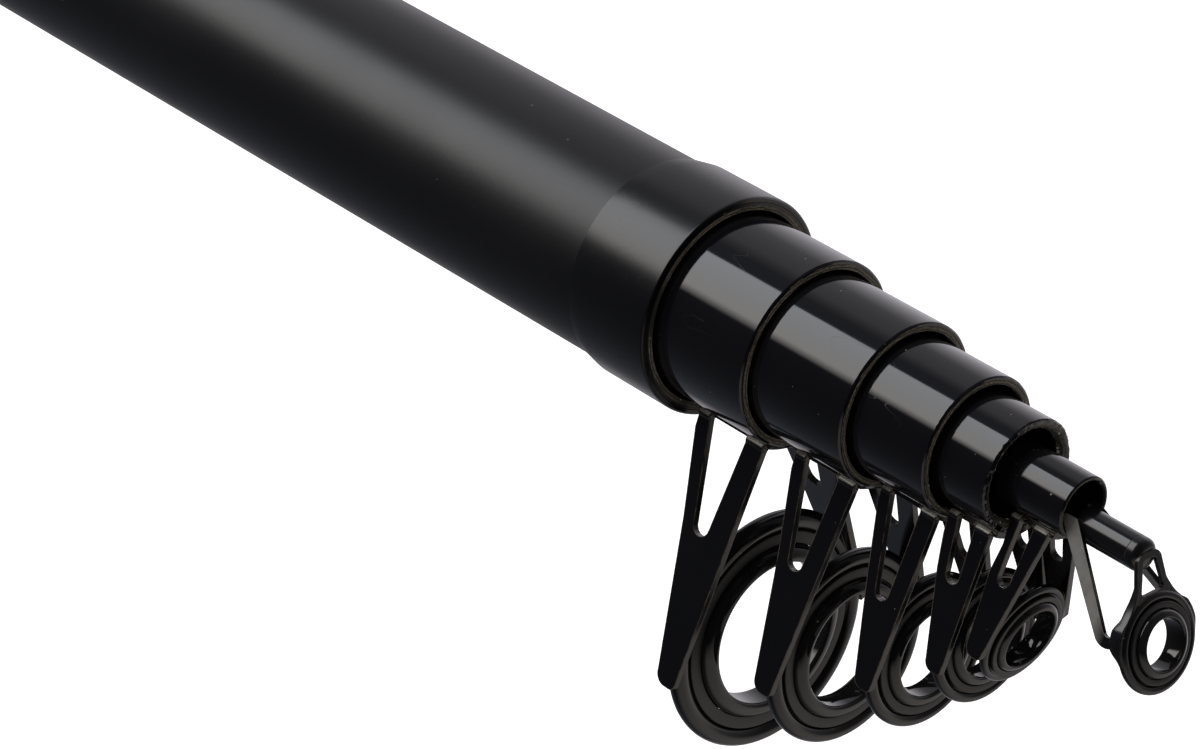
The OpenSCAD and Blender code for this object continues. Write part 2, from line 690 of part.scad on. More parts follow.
// Outline of the pocket for the reel's foot
module pocket_outline() {
    half = pocket_w / 2;
    low = BED_Z + pocket_h;
    polygon(concat(
        [[half, CUT - BED_Z], [-half, CUT - BED_Z]],
        arc([-half + POCKET_CORNER, -low + POCKET_CORNER], POCKET_CORNER, 180, 270),
        arc([half - POCKET_CORNER, -low + POCKET_CORNER], POCKET_CORNER, 270, 360)));
}

// Streamlined hood that opens towards +X, from its closed end at the origin
module hood() {
    open_r = BED_Z + pocket_h + hood_wall + HOOD_FLARE;
    nose_r = HOOD_R - NOSE_DROP;
    nose_len = hood_len * NOSE_SHARE;
    difference() {
        intersection() {
            rotate([90, 0, 90])
                linear_extrude(hood_len)
                    hood_outline();
            turned(concat(
                [[0, 0]],
                [for (i = [0:ARC_STEPS])
                    let (a = 90 * i / ARC_STEPS)
                        [nose_r + (open_r - nose_r) * sin(a), nose_len * (1 - cos(a))]],
                [[open_r, hood_len], [0, hood_len]]));
        }
        translate([hood_len - pocket_depth, 0, 0])
            rotate([90, 0, 90])
                linear_extrude(pocket_depth + CUT)
                    pocket_outline();
    }
}

module fixed_hood() {
    color([0.05, 0.05, 0.05])
        difference() {
            translate([SEAT_END_X, 0, 0])
                mirror([1, 0, 0])
                    hood();
            bar(FIXED_HOOD_X - CUT, SEAT_END_X + CUT, BARREL_R + glue_gap);
        }
}

module sliding_hood() {
    color([0.05, 0.05, 0.05])
        difference() {
            translate([SLIDING_HOOD_X, 0, 0])
                hood();
            bar(SLIDING_HOOD_X - CUT, SLIDING_HOOD_X + hood_len + CUT, BARREL_R + hood_clear);
        }
}

module lock_nut() {
    end_x = NUT_X + nut_len;
    bore_r = BARREL_R + hood_clear;
    color([0.06, 0.06, 0.06])
        difference() {
            turned([
                [bore_r, NUT_X], [HOOD_R - NUT_EDGE, NUT_X], [HOOD_R, NUT_X + NUT_EDGE],
                [HOOD_R, end_x - NUT_EDGE], [HOOD_R - NUT_EDGE, end_x], [bore_r, end_x]]);
            grooves(nut_grooves, NUT_X - CUT, end_x - NUT_EDGE - CUT, HOOD_R, NUT_GROOVE_R);
        }
}

// Grip grooves along X, spaced round a rim of the given radius
module grooves(count, x0, x1, rim_r, r) {
    for (i = [0:count - 1])
        rotate([360 / count * i, 0, 0])
            translate([0, 0, rim_r + r / 2])
                bar(x0, x1, r);
}

// Two tapered rings that finish the ends of the seat
module seat_trim_rings() {
    rear_r = seat_bore_r(STRAIGHT_X);
    front_r = seat_bore_r(MID_X);
    color([0.03, 0.03, 0.03]) {
        turned([
            [rear_r, STRAIGHT_X], [rear_r + TRIM_EDGE, STRAIGHT_X],
            [BARREL_R, seat_x - glue_gap], [seat_bore_r(seat_x), seat_x - glue_gap]]);
        turned([
            [seat_bore_r(SEAT_END_X), SEAT_END_X + glue_gap], [BARREL_R, SEAT_END_X + glue_gap],
            [front_r + TRIM_EDGE, MID_X], [front_r, MID_X]]);
    }
}

module butt_cap() {
    head_r = BUTT_R - cap_relief;
    floor_x = pad_proud + pad_t;
    color([0.05, 0.05, 0.05])
        difference() {
            turned(concat(
                [[0, pad_proud]],
                arc([head_r - cap_round, pad_proud + cap_round], cap_round, 270, 360),
                [[head_r, HEAD_X - glue_gap], [PLUG_R, HEAD_X - glue_gap], [PLUG_R, PLUG_X],
                 [PLUG_R - plug_wall, PLUG_X], [PLUG_R - plug_wall, HEAD_X], [0, HEAD_X]]));
            bar(pad_proud - CUT, floor_x, pad_d / 2 + glue_gap);
            grooves(cap_grooves, pad_proud - CUT, HEAD_X - CAP_LAND, head_r, CAP_GROOVE_R);
        }
}

module cap_pad() {
    r = pad_d / 2;
    end_x = pad_proud + pad_t - glue_gap;
    color([0.03, 0.03, 0.03])
        turned([[0, 0], [r - PAD_EDGE, 0], [r, PAD_EDGE], [r, end_x], [0, end_x]]);
}

// Foam cushion in the cap's plug, with a head that the sections' ends rest on
module inner_cushion() {
    stem_r = PLUG_R - plug_wall - glue_gap;
    head_r = PLUG_R - plug_clear;
    color([0.2, 0.2, 0.21])
        turned([
            [0, HEAD_X + glue_gap], [stem_r, HEAD_X + glue_gap], [stem_r, PLUG_X + glue_gap],
            [head_r, PLUG_X + glue_gap], [head_r, PLUG_X + cushion_t], [0, PLUG_X + cushion_t]]);
}

butt_blank();
mouth_collar();
thread_bush();
reel_seat_barrel();
fixed_hood();
seat_trim_rings();
sliding_hood();
lock_nut();
butt_cap();
cap_pad();
inner_cushion();
for (k = [1:len(SECTION_NAMES)]) {
    n = SECTION_NAMES[k - 1];
    section_blank(k);
    guide_frame(k);
    guide_shock_ring(k);
    guide_insert(k);
}
tip_blank();
tip_tube();
tip_frame();
tip_shock_ring();
tip_insert();
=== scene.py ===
import json
import math
import random

import bmesh
import bpy
from mathutils import Matrix, Vector


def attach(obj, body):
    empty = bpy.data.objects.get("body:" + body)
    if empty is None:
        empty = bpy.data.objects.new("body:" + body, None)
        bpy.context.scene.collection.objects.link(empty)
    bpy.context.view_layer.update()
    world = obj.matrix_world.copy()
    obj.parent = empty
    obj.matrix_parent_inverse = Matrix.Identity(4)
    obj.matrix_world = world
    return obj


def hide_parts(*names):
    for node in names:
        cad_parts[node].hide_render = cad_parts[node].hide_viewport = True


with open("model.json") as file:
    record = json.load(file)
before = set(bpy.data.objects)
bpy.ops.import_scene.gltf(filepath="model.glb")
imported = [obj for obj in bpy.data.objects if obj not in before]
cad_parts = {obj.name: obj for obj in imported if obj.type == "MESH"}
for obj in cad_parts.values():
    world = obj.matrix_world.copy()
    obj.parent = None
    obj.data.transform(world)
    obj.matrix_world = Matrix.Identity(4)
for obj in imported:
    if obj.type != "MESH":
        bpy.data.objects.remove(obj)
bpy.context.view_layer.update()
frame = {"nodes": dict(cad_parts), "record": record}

# Materials and lights are in metres, and the tables of the pieces in millimetres
MM = 0.001
ORIGIN, ALONG_X, ALONG_Z = (0, 0, 0), (1, 0, 0), (0, 0, 1)
WHITE = (1, 1, 1, 1)


# Node trees

def node(tree, kind, settings=None, **sockets):
    """Adds a node, sets its options, and fills its inputs from values or other nodes' outputs."""
    made = tree.nodes.new("ShaderNode" + kind)
    for key, value in (settings or {}).items():
        setattr(made, key, value)
    for key, value in sockets.items():
        numbered = key.startswith("in") and key[2:].isdigit()
        socket = made.inputs[int(key[2:]) if numbered else key.replace("_", " ")]
        if isinstance(value, bpy.types.NodeSocket):
            tree.links.new(value, socket)
        else:
            socket.default_value = value
    return made


def math_node(tree, operation, a, b=0.0, clamp=False):
    return node(tree, "Math", {"operation": operation, "use_clamp": clamp}, in0=a, in1=b).outputs[0]


def total(tree, a, b):
    return math_node(tree, "ADD", a, b)


def less(tree, a, b, clamp=False):
    return math_node(tree, "SUBTRACT", a, b, clamp)


def product(tree, a, b):
    return math_node(tree, "MULTIPLY", a, b)


def ratio(tree, a, b):
    return math_node(tree, "DIVIDE", a, b)


def vector_node(tree, operation, a, **others):
    return node(tree, "VectorMath", {"operation": operation}, in0=a, **others).outputs


def ramp(tree, value, low, high, to_low=0.0, to_high=1.0):
    """Value from low to high becomes to_low to to_high, and stays there past either end."""
    return node(tree, "MapRange", {"clamp": True}, Value=value, From_Min=low, From_Max=high,
                To_Min=to_low, To_Max=to_high).outputs["Result"]


def mixed(tree, share, a, b):
    """Colour a where share is 0, colour b where it is 1."""
    return node(tree, "Mix", {"data_type": "RGBA"}, in0=share, in6=a, in7=b).outputs[2]


def noise(tree, place, detail, scale=1.0, **others):
    return node(tree, "TexNoise", Vector=place, Scale=scale, Detail=detail, **others).outputs[0]


def surface_place(tree):
    """The surface's own place, in metres."""
    return node(tree, "TexCoord").outputs["Object"]


def scaled_place(tree, size):
    """The surface's own place, counted in lengths of the given size."""
    return vector_node(tree, "SCALE", surface_place(tree), Scale=ratio(tree, 1.0, size))[0]


def facing(tree):
    """The way that the surface faces."""
    return node(tree, "NewGeometry").outputs["Normal"]


def parts_of(tree, vector):
    """X, Y and Z of a vector."""
    return node(tree, "SeparateXYZ", Vector=vector).outputs


def group(name, inputs, outputs):
    """An empty shader group with float inputs of the names given, and the outputs given with their kinds."""
    tree = bpy.data.node_groups.new(name, "ShaderNodeTree")
    for label in inputs:
        tree.interface.new_socket(label, in_out="INPUT", socket_type="NodeSocketFloat")
    for label, kind in outputs.items():
        tree.interface.new_socket(label, in_out="OUTPUT", socket_type="NodeSocket" + kind)
    return tree, tree.nodes.new("NodeGroupInput").outputs, tree.nodes.new("NodeGroupOutput").inputs


def placed(tree, shared, **values):
    """A shared group placed in a material with its own values."""
    made = tree.nodes.new("ShaderNodeGroup")
    made.node_tree = shared
    for label, value in values.items():
        made.inputs[label].default_value = value
    return made.outputs


# Effects that the finishes share

# A pair of numbers is where an effect starts and where it is full
NOISE_MIDDLE = 0.5
SPECK_LEAST, SPECK_EDGE = 0.4, (0.0, 0.35)
SCRATCHED_SCALE, SCRATCHED = 0.8, (0.56, 0.7)
FIBRE_GRAIN, FIBRE_GRAIN_ROUGH, FIBRE_LAYER, FIBRE_PATCH = 0.00022, 0.7, 0.00034, 0.005
TEAR_SCALE, LAYER_WANDER, EDGE_WANDER = 0.12, 1.6, 0.3
LAYER_LIGHT, GRAIN_LIGHT, PATCH_LIGHT = (0.05, 0.3), (0.3, 0.66), (0.36, 0.58)
# Shares of the wall, from outside in: where the black lip ends, and where the dark inner edge begins
LIP_ENDS, CORE_EDGE = (0.27, 0.36), (0.93, 0.8)
FIBRE_DARK, FIBRE_TAN = (0.02, 0.018, 0.015, 1), (0.34, 0.29, 0.205, 1)
# Edge samples and turn, and the size and range of the patches where edges are rubbed and carry a painted edge
# highlight
EDGE_SAMPLES, EDGE_TURN, RUB_AND_SHEEN_SIZE, RUB_AND_SHEEN_PATCH = 6, (0.995, 0.86), 0.0012, (0.3, 0.62)


def eased_facing(tree, radius):
    """The way that the surface faces if its edges are rounded by the radius."""
    return node(tree, "Bevel", {"samples": EDGE_SAMPLES}, Radius=radius).outputs[0]


def make_dust():
    """Sparse round specks of settled dust: Spacing apart in metres, Size as a share of that."""
    tree, given, out = group("dust_specks", ("Spacing", "Size", "Share"), {"Mask": "Float"})
    cells = node(tree, "TexVoronoi", Vector=scaled_place(tree, given["Spacing"]), Scale=1.0).outputs
    chance = node(tree, "SeparateColor", Color=cells["Color"]).outputs
    here = math_node(tree, "LESS_THAN", chance[0], given["Share"])
    reach = product(tree, given["Size"], total(tree, chance[1], SPECK_LEAST))
    near = less(tree, 1.0, ratio(tree, cells["Distance"], reach), clamp=True)
    tree.links.new(product(tree, here, ramp(tree, near, *SPECK_EDGE)), out["Mask"])
    return tree


def make_hairlines():
    """Fine scratches, longer along the rod than across it, in patches."""
    tree, given, out = group("hairline_scratches", ("Length", "Gap", "Width"), {"Mask": "Float"})
    spot = parts_of(tree, surface_place(tree))
    stretched = node(tree, "CombineXYZ", X=ratio(tree, spot["X"], given["Length"]),
                     Y=ratio(tree, spot["Y"], given["Gap"]), Z=ratio(tree, spot["Z"], given["Gap"]))
    field = noise(tree, stretched.outputs[0], detail=0.0)
    off = math_node(tree, "ABSOLUTE", less(tree, field, NOISE_MIDDLE))
    line = math_node(tree, "LESS_THAN", off, given["Width"])
    patch = noise(tree, scaled_place(tree, given["Length"]), detail=1.0, scale=SCRATCHED_SCALE)
    tree.links.new(product(tree, line, ramp(tree, patch, *SCRATCHED)), out["Mask"])
    return tree


def make_ripple():
    """Unevenness of a lacquer or a moulded skin."""
    tree, given, out = group("lacquer_ripple", ("Size", "Rough"), {"Height": "Float"})
    tree.links.new(noise(tree, scaled_place(tree, given["Size"]), detail=given["Rough"]), out["Height"])
    return tree


def make_fibre():
    """Sawn mouth of a glass-fibre tube: from outside in, a black lip, torn tan layers and a dark edge.

    Mouth is its radius and Wall its wall. Least and Most are the tan in its darkest and palest patches.
    """
    tree, given, out = group("cut_fibre", ("Mouth", "Wall", "Least", "Most"),
                             {"Shade": "Color", "Height": "Float", "Bare": "Float"})
    spot = parts_of(tree, surface_place(tree))
    squares = total(tree, product(tree, spot["Y"], spot["Y"]), product(tree, spot["Z"], spot["Z"]))
    radius = math_node(tree, "SQRT", squares)
    place = scaled_place(tree, FIBRE_GRAIN)
    grain = noise(tree, place, detail=3.0, Roughness=FIBRE_GRAIN_ROUGH)
    torn = noise(tree, place, detail=3.0, scale=TEAR_SCALE)
    patch = noise(tree, scaled_place(tree, FIBRE_PATCH), detail=1.0)
    layer = total(tree, ratio(tree, radius, FIBRE_LAYER), product(tree, torn, LAYER_WANDER))
    strip = math_node(tree, "ABSOLUTE", less(tree, math_node(tree, "FRACT", layer), 0.5))
    light = product(tree, ramp(tree, strip, *LAYER_LIGHT), ramp(tree, grain, *GRAIN_LIGHT))
    shown = product(tree, light, ramp(tree, patch, *PATCH_LIGHT, given["Least"], given["Most"]))
    inwards = ratio(tree, less(tree, given["Mouth"], radius), given["Wall"])
    ragged = total(tree, inwards, product(tree, less(tree, torn, NOISE_MIDDLE), EDGE_WANDER))
    bare = product(tree, ramp(tree, ragged, *LIP_ENDS), ramp(tree, ragged, *CORE_EDGE))
    tree.links.new(mixed(tree, shown, FIBRE_DARK, FIBRE_TAN), out["Shade"])
    tree.links.new(total(tree, grain, light), out["Height"])
    tree.links.new(bare, out["Bare"])
    return tree


def make_rub_and_sheen_edges():
    """Where a sheet's edges are rubbed and carry a painted edge highlight: Radius is how far it reaches from
    the edge, in metres.
    """
    tree, given, out = group("rubbed_and_sheen_edges", ("Radius",), {"Mask": "Float"})
    eased_way = eased_facing(tree, given["Radius"])
    turn = vector_node(tree, "DOT_PRODUCT", eased_way, in1=facing(tree))["Value"]
    patch = noise(tree, scaled_place(tree, RUB_AND_SHEEN_SIZE), detail=2.0)
    tree.links.new(product(tree, ramp(tree, turn, *EDGE_TURN), ramp(tree, patch, *RUB_AND_SHEEN_PATCH)), out["Mask"])
    return tree


DUST, HAIRLINES, RIPPLE = make_dust(), make_hairlines(), make_ripple()
FIBRE, EDGES = make_fibre(), make_rub_and_sheen_edges()


# Finishes

DUST_TAN, FLECK_PALE = (0.20, 0.165, 0.11, 1), (0.72, 0.68, 0.61, 1)
# Brown of the stamped sheets' edges: paint rubbed thin, and a painted edge highlight
EDGE_RUB_AND_SHEEN_BROWN = (0.30, 0.225, 0.15, 1)
# Greys like bare steel that are painted light: a painted reflection on the tip braces, a painted highlight on
# the leg bends
REFLECTION_GREY, HIGHLIGHT_PALE = (0.20, 0.195, 0.186, 1), (0.36, 0.345, 0.31, 1)
COATING_IOR, SLOW = 1.5, (0.3, 0.7)
PLAIN_DUST_GAP, TUBE_DUST_GAP = 0.0016, 0.0013
SPECK_ROUGH, SPECK_HIGH = 0.5, 3.0
CUT_SOFT, CUT_ROUGH, CUT_HIGH = 0.17, 0.62, 9.0
LACQUER_BUMP, SHEET_BUMP, GRAIN_BUMP = 0.00004, 0.00003, 0.00005
# The braces of the tip frame get a painted reflection, a dull grey, below a slanted line and behind its ring,
# on their flat sides
BRACE_SLANT, BRACE_LINE, BRACE_REACH, SIDEWAYS = 1.08, (0.6992, 0.6985), (0.7058, 0.7042), (0.86, 0.93)
# Painted reflection of the braces and painted highlight of the bends, in patches by the ripple: from and to,
# and the share at each end
BRACE_REFLECTION_PATCH, BEND_HIGHLIGHT_PATCH, UPWARDS = (0.2, 0.6, 0.75, 1.0), (0.3, 0.6, 0.5, 1.0), (0.3, 0.75)
SHEET_DULLEST, SHEET_GLOSSIEST, RUB_ROUGH, SHEET_RIPPLE = 1.3, 0.75, 0.12, 0.12
GRAIN_DULLEST, GRAIN_GLOSSIEST, WORN_PATCH = 1.12, 0.88, (0.4, 0.75)
WORN_TIMES, WORN_PLUS = 1.5, 0.002


def finish(name, **sockets):
    """A material with one Principled shader and the given constant values on its sockets."""
    made = bpy.data.materials.new(name)
    made.use_nodes = True
    tree = made.node_tree
    tree.nodes.clear()
    shader = node(tree, "BsdfPrincipled", **sockets)
    tree.links.new(shader.outputs[0], node(tree, "OutputMaterial").inputs["Surface"])
    return made, tree, shader.inputs


def lacquer(name, colour, rough, swing, ripple, ripple_size, dust, scratches,
            shine=0.5, faired=1.0, mouth=None):
    """Black lacquer whose roughness swings slowly, with specks of dust and hairlines on it.

    Faired is how much of a slope along the rod shows. Mouth is the row of a tube's sawn mouth.
    """
    made, tree, face = finish(name, IOR=COATING_IOR, Specular_IOR_Level=shine)
    dust_gap = TUBE_DUST_GAP if mouth else PLAIN_DUST_GAP
    specks = placed(tree, DUST, Spacing=dust_gap, Size=0.065, Share=dust)["Mask"]
    lines = placed(tree, HAIRLINES, Length=0.006, Gap=0.0015, Width=0.004)["Mask"]
    wave = placed(tree, RIPPLE, Size=ripple_size, Rough=2.0)["Height"]
    slow = placed(tree, RIPPLE, Size=0.02, Rough=3.0)["Height"]
    skin = mixed(tree, specks, (*colour, 1), DUST_TAN)
    even = ramp(tree, slow, *SLOW, rough - swing, rough + swing)
    marked = total(tree, even, product(tree, lines, scratches))
    worn = total(tree, marked, product(tree, specks, SPECK_ROUGH))
    height = total(tree, wave, product(tree, specks, SPECK_HIGH))
    if mouth:
        radius, wall, ahead, least, most = mouth
        fibre = placed(tree, FIBRE, Mouth=radius * MM, Wall=wall * MM, Least=least, Most=most)
        flecks = placed(tree, DUST, Spacing=0.0007, Size=0.26, Share=0.4)["Mask"]
        forwards = parts_of(tree, facing(tree))["X"]
        cut = product(tree, ramp(tree, forwards, ahead, ahead + CUT_SOFT), fibre["Bare"])
        skin = mixed(tree, cut, skin, mixed(tree, flecks, fibre["Shade"], FLECK_PALE))
        worn = ramp(tree, cut, 0.0, 1.0, worn, CUT_ROUGH)
        height = total(tree, height, product(tree, product(tree, cut, CUT_HIGH), fibre["Height"]))
    tree.links.new(skin, face["Base Color"])
    tree.links.new(worn, face["Roughness"])
    bump = node(tree, "Bump", Strength=ripple, Distance=LACQUER_BUMP, Height=height)
    if faired < 1.0:
        flatter = vector_node(tree, "MULTIPLY", facing(tree), in1=(faired, 1.0, 1.0))[0]
        tree.links.new(vector_node(tree, "NORMALIZE", flatter)[0], bump.inputs["Normal"])
    tree.links.new(bump.outputs[0], face["Normal"])
    return made


def brace_painted_reflection(tree, wave):
    """How much of the braces' flat sides takes the painted reflection, a grey like bare steel."""
    sideways = math_node(tree, "ABSOLUTE", parts_of(tree, facing(tree))["Y"])
    spot = parts_of(tree, surface_place(tree))
    slanted = total(tree, spot["X"], product(tree, spot["Z"], BRACE_SLANT))
    reach = product(tree, ramp(tree, slanted, *BRACE_LINE), ramp(tree, spot["X"], *BRACE_REACH))
    flat = product(tree, ramp(tree, sideways, *SIDEWAYS), reach)
    return product(tree, flat, ramp(tree, wave, *BRACE_REFLECTION_PATCH))


def bend_painted_highlight(tree, wave):
    """How much of the leg bends' upward-facing tops takes the painted highlight, a pale grey like bare steel.
    """
    upwards = parts_of(tree, facing(tree))["Z"]
    return product(tree, ramp(tree, upwards, *UPWARDS), ramp(tree, wave, *BEND_HIGHLIGHT_PATCH))


def stamped(name, colour, rough, edge, rub_and_sheen_share, painted_light_places=None, painted_light_colour=None):
    """Painted stamped sheet: eased edges, brown where the paint is rubbed thin and where an edge highlight is
    painted, and painted light, a steel-like colour, on the places given.
    """
    made, tree, face = finish(name, IOR=COATING_IOR)
    rub_and_sheen = placed(tree, EDGES, Radius=edge)["Mask"]
    specks = placed(tree, DUST, Spacing=0.0014, Size=0.06, Share=0.16)["Mask"]
    wave = placed(tree, RIPPLE, Size=0.0009, Rough=2.0)["Height"]
    slow = placed(tree, RIPPLE, Size=0.006, Rough=3.0)["Height"]
    paint = (*colour, 1)
    # Painted light, in the steel-like colour given, on the places given
    if painted_light_places:
        paint = mixed(tree, painted_light_places(tree, wave), paint, painted_light_colour)
    # Edges painted brown: paint rubbed thin, and a painted edge highlight
    rubbed_and_sheened = mixed(tree, product(tree, rub_and_sheen, rub_and_sheen_share), paint, EDGE_RUB_AND_SHEEN_BROWN)
    tree.links.new(mixed(tree, specks, rubbed_and_sheened, DUST_TAN), face["Base Color"])
    even = ramp(tree, slow, *SLOW, rough * SHEET_GLOSSIEST, rough * SHEET_DULLEST)
    tree.links.new(total(tree, even, product(tree, rub_and_sheen, RUB_ROUGH)), face["Roughness"])
    bump = node(tree, "Bump", Strength=SHEET_RIPPLE, Distance=SHEET_BUMP, Height=wave,
                Normal=eased_facing(tree, edge))
    tree.links.new(bump.outputs[0], face["Normal"])
    return made


def moulded(name, colour, rough, grain_size, grain, dust=0.2, **sockets):
    """Moulded plastic, rubber, foam or turned metal: a fine grain, dust in it, and paler worn patches."""
    made, tree, face = finish(name, **sockets)
    specks = placed(tree, DUST, Spacing=0.0018, Size=0.06, Share=dust)["Mask"]
    wave = placed(tree, RIPPLE, Size=grain_size, Rough=4.0)["Height"]
    slow = placed(tree, RIPPLE, Size=0.015, Rough=3.0)["Height"]
    paler = tuple(part * WORN_TIMES + WORN_PLUS for part in colour)
    skin = mixed(tree, ramp(tree, slow, *WORN_PATCH), (*colour, 1), (*paler, 1))
    tree.links.new(mixed(tree, specks, skin, DUST_TAN), face["Base Color"])
    tree.links.new(ramp(tree, slow, *SLOW, rough * GRAIN_DULLEST, rough * GRAIN_GLOSSIEST), face["Roughness"])
    bump = node(tree, "Bump", Strength=grain, Distance=GRAIN_BUMP, Height=wave)
    tree.links.new(bump.outputs[0], face["Normal"])
    return made


# Mouths: radius and wall in millimetres, how far ahead a bare face looks, least and most tan fibre
BUTT_MOUTH = (11.375, 0.98, 0.8, 0.1, 1.0)
MOUTHS = {
    "section_2": (10.15, 1.1, 0.8, 0.6, 1.0),
    "section_3": (8.85, 1.05, 0.8, 0.6, 1.0),
    "section_4": (7.45, 1.0, 0.8, 0.5, 1.0),
    "section_5": (5.9, 1.55, 0.25, 0.05, 0.4),
    "section_6": (3.25, 0.5, 0.8, 0.3, 1.0),
}
SECTION_COAT = dict(colour=(0.0045, 0.0045, 0.006), rough=0.075, swing=0.015, ripple=0.06,
                    ripple_size=0.003, dust=0.3, scratches=0.28)
GUIDE_COLOUR = (0.004, 0.0041, 0.0052)

BUTT_BLACK = lacquer("butt_satin_black", (0.0034, 0.0035, 0.0045), rough=0.37, swing=0.03, ripple=0.10,
                     ripple_size=0.0004, dust=0.10, scratches=0.05, shine=0.42, mouth=BUTT_MOUTH)
COLLAR_BLACK = lacquer("collar_black", (0.0036, 0.0037, 0.0046), rough=0.25, swing=0.02, ripple=0.10,
                       ripple_size=0.0008, dust=0.14, scratches=0.08, shine=0.45, faired=0.3)
SECTION_BLACK = lacquer("section_gloss_black", **SECTION_COAT)
MOUTH_BLACK = {tube: lacquer(tube + "_gloss_black", mouth=mouth, **SECTION_COAT)
               for tube, mouth in MOUTHS.items()}
TIP_TUBE_BLACK = lacquer("tip_tube_black", (0.006, 0.006, 0.007), rough=0.13, swing=0.02, ripple=0.06,
                         ripple_size=0.002, dust=0.2, scratches=0.2)
INSERT_BLACK = lacquer("insert_polished_black", (0.010, 0.0098, 0.010), rough=0.04, swing=0.01,
                       ripple=0.03, ripple_size=0.002, dust=0.10, scratches=0.15)
GUIDE_BLACK = stamped("guide_black", GUIDE_COLOUR, rough=0.16, edge=0.00018, rub_and_sheen_share=0.6)
# The leg bends' pale upward-facing tops are a painted highlight
BEND_HIGHLIGHTED = stamped("bend_worn_black", GUIDE_COLOUR, rough=0.2, edge=0.00008, rub_and_sheen_share=0.3,
                    painted_light_places=bend_painted_highlight, painted_light_colour=HIGHLIGHT_PALE)
# The tip braces' grey flat sides are a painted reflection
TIP_BLACK = stamped("tip_frame_black", (0.005, 0.005, 0.006), rough=0.2, edge=0.00012, rub_and_sheen_share=0.6,
                    painted_light_places=brace_painted_reflection, painted_light_colour=REFLECTION_GREY)
SHOCK_BLACK = moulded("shock_ring_black", (0.007, 0.0068, 0.0065), rough=0.42, grain_size=0.0003,
                      grain=0.2, IOR=1.5)
SEAT_BLACK = moulded("seat_satin_black", (0.012, 0.012, 0.0125), rough=0.33, grain_size=0.0005,
                     grain=0.25, IOR=1.5)
NUT_BLACK = moulded("nut_black", (0.014, 0.014, 0.0145), rough=0.38, grain_size=0.0005,
                    grain=0.3, IOR=1.5)
TRIM_BLACK = moulded("trim_black", (0.010, 0.010, 0.0105), rough=0.26, grain_size=0.0006,
                     grain=0.2, IOR=1.5)
CAP_BLACK = moulded("cap_black", (0.013, 0.013, 0.0135), rough=0.42, grain_size=0.0005,
                    grain=0.35, IOR=1.5)
PAD_RUBBER = moulded("pad_rubber", (0.016, 0.0155, 0.015), rough=0.7, grain_size=0.0004,
                     grain=0.6, dust=0.35, IOR=1.5)
CUSHION_FOAM = moulded("cushion_foam", (0.045, 0.045, 0.048), rough=0.85, grain_size=0.0008,
                       grain=1.0, dust=0.1, IOR=1.45)
BUSH_METAL = moulded("bush_metal", (0.32, 0.31, 0.29), rough=0.28, grain_size=0.0004,
                     grain=0.2, dust=0.05, Metallic=1.0)

FINISH_OF = {
    "butt_black": BUTT_BLACK,
    "section_black": SECTION_BLACK,
    "guide_black": GUIDE_BLACK,
    "tip_black": TIP_BLACK,
    "shock_black": SHOCK_BLACK,
    "insert_ceramic": INSERT_BLACK,
    "seat_black": SEAT_BLACK,
    "nut_black": NUT_BLACK,
    "trim_black": TRIM_BLACK,
    "cap_black": CAP_BLACK,
    "pad_rubber": PAD_RUBBER,
    "cushion_foam": CUSHION_FOAM,
    "bush_metal": BUSH_METAL,
}
FINISH_OF_NODE = {"tip_tube": TIP_TUBE_BLACK}

for part in frame["record"]["subparts"]:
    solid = frame["nodes"][part["node"]]
    chosen = FINISH_OF_NODE.get(part["node"], FINISH_OF[part["material_slot"]])
    if not solid.material_slots:
        solid.data.materials.append(chosen)
    for place in solid.material_slots:
        place.material = chosen


# Making of the pieces that are finer than their solids

ROUND_SEGMENTS, TUBE_STEPS, TUBE_CREASE, MOUTH_BEVEL = 4, 144, 0.35, 0.16
# Torn mouths: their edge, the raggedness that tears the inside, how deep and wide, the lip left whole
TORN_EDGE, TORN_LEAST, TORN_DEPTH, TORN_SPREAD, LIP_KEPT = MOUTH_BEVEL * 1.5, 0.1, 1.0, 0.2, 0.1
draw = random.Random(6)


def new_piece(name, bm, made, body, slot, *stands_for):
    """A finished mesh as a smooth piece that rides on a body, and stands for the solids named."""
    bmesh.ops.recalc_face_normals(bm, faces=bm.faces[:])
    bmesh.ops.scale(bm, vec=(MM, MM, MM), verts=bm.verts[:])
    for face in bm.faces:
        face.smooth = True
    mesh = bpy.data.meshes.new(name)
    bm.to_mesh(mesh)
    bm.free()
    mesh.materials.append(made)
    piece = bpy.data.objects.new(name, mesh)
    bpy.context.scene.collection.objects.link(piece)
    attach(piece, body)
    if stands_for:
        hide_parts(*stands_for)


def eased(value, start, end):
    """A soft step from 0 at start to 1 at end."""
    return (1 - math.cos(math.pi * min(1.0, max(0.0, (value - start) / (end - start))))) / 2


def rounded(bm, offset, least_turn):
    """Rounds every edge that turns more than the angle given."""
    sharp = [edge for edge in bm.edges if edge.calc_face_angle(0.0) > least_turn]
    bmesh.ops.bevel(bm, geom=sharp, offset=offset, offset_type="OFFSET", segments=ROUND_SEGMENTS,
                    profile=0.5, affect="EDGES", material=-1)


def creased(bm, least_turn):
    """Leaves sharp every edge that turns by the angle given or more."""
    for edge in bm.edges:
        edge.smooth = edge.calc_face_angle(0.0) < least_turn


def spun(corners, axis, steps, side_cut=0, cuts=0):
    """A closed outline of a few corners, one of its sides cut finer, turned round an axis."""
    bm = bmesh.new()
    points = [bm.verts.new(corner) for corner in corners]
    sides = [bm.edges.new(pair) for pair in zip(points, points[1:] + points[:1])]
    if cuts:
        bmesh.ops.subdivide_edges(bm, edges=[sides[side_cut]], cuts=cuts)
    bmesh.ops.spin(bm, geom=bm.verts[:] + bm.edges[:], cent=ORIGIN, axis=axis, angle=2 * math.pi,
                   steps=steps, use_merge=True)
    bmesh.ops.recalc_face_normals(bm, faces=bm.faces[:])
    return bm


